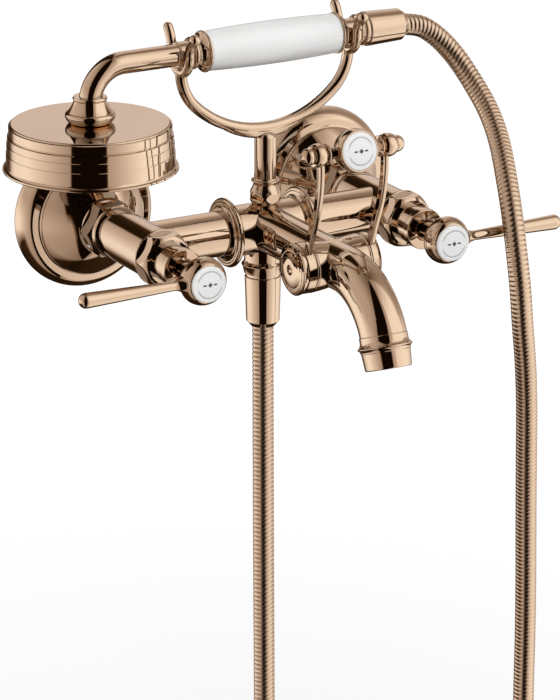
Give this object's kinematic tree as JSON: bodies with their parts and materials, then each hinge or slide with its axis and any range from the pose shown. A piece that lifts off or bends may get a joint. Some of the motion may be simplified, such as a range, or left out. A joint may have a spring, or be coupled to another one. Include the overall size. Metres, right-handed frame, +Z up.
{
  "type": "bath mixer",
  "caption": "Exposed wall-mounted bath mixer with lever handles, a bail-operated diverter, a curved spout and a hand shower on a ribbed hose lying in a fork cradle.",
  "frame": {"origin": "midway between the axes of the two wall inlets, in the plane of the finished wall", "axes": "+X to the right across the inlets, seen from the room; +Y into the wall; +Z up"},
  "size_m": [0.3175, 0.2368, 0.6412],
  "materials": {
    "rose_gold": "brass polished and plated in rose gold",
    "hose_strip": "wound metal strip plated in rose gold",
    "plain_brass": "machined, unplated",
    "porcelain": "white gloss glaze",
    "valve_ceramic": "lapped",
    "dark_rubber": "moulded",
    "grey_plastic": "moulded"
  },
  "bodies": {
    "mixer": {"aerator_housing": "rose_gold", "aerator_insert": "grey_plastic", "bar_collars": "rose_gold", "bonnet_cold": "rose_gold", "bonnet_hot": "rose_gold", "cartridge_cold": "plain_brass", "cartridge_hot": "plain_brass", "cartridge_seals": "dark_rubber", "ceramic_seats": "valve_ceramic", "check_valve": "grey_plastic", "cradle_fork": "rose_gold", "cradle_nut": "rose_gold", "cradle_stem": "rose_gold", "diverter_gland": "plain_brass", "diverter_housing": "rose_gold", "escutcheon_cold": "rose_gold", "escutcheon_hot": "rose_gold", "hose": "hose_strip", "hose_lower_nut": "rose_gold", "hose_outlet": "rose_gold", "lower_hose_washer": "dark_rubber", "mixer_body": "rose_gold", "spout": "rose_gold", "union_nut_cold": "rose_gold", "union_nut_hot": "rose_gold", "union_washers": "dark_rubber", "wall_union_cold": "plain_brass", "wall_union_hot": "plain_brass"},
    "hot_handle": {"handle_hub_hot": "rose_gold", "lever_hot": "rose_gold", "handle_cap_hot": "porcelain", "handle_screw_hot": "plain_brass", "spindle_hot": "plain_brass", "ceramic_disc_hot": "valve_ceramic"},
    "cold_handle": {"handle_hub_cold": "rose_gold", "lever_cold": "rose_gold", "handle_cap_cold": "porcelain", "handle_screw_cold": "plain_brass", "spindle_cold": "plain_brass", "ceramic_disc_cold": "valve_ceramic"},
    "bail": {"pivot_discs": "rose_gold", "pivot_screws": "rose_gold", "bail_arms": "rose_gold", "bail_rod": "rose_gold", "bail_finials": "rose_gold", "button_housing": "rose_gold", "shower_cap": "porcelain", "diverter_plug": "plain_brass"},
    "hand_shower": {"head_shell": "rose_gold", "spray_plate": "rose_gold", "spray_nozzles": "dark_rubber", "head_collar": "rose_gold", "gooseneck": "rose_gold", "front_ferrule": "rose_gold", "grip": "porcelain", "rear_ferrule": "rose_gold", "handset_tube": "plain_brass", "upper_hose_washer": "dark_rubber"},
    "hose_nut": {"hose_upper_nut": "rose_gold"}
  },
  "joints": [
    {"name": "hot_valve", "type": "hinge", "parent": "mixer", "child": "hot_handle", "pos_m": [-0.075, -0.145, 0], "axis": [0, -1, 0], "range_deg": [0, 90]},
    {"name": "cold_valve", "type": "hinge", "parent": "mixer", "child": "cold_handle", "pos_m": [0.075, -0.145, 0], "axis": [0, 1, 0], "range_deg": [0, 90]},
    {"name": "diverter", "type": "hinge", "parent": "mixer", "child": "bail", "pos_m": [0, -0.152, 0.0005], "axis": [1, 0, 0], "range_deg": [0, 60]},
    {"name": "handset_lift", "type": "slide", "parent": "mixer", "child": "hand_shower", "axis": [0, 0, 1], "range_m": [0, 0.06], "deforming": ["hose"]},
    {"name": "hose_swivel", "type": "hinge", "parent": "hand_shower", "child": "hose_nut", "pos_m": [0.0755, -0.0775, 0.1047], "axis": [1, 0, 0], "continuous": true}
  ]
}
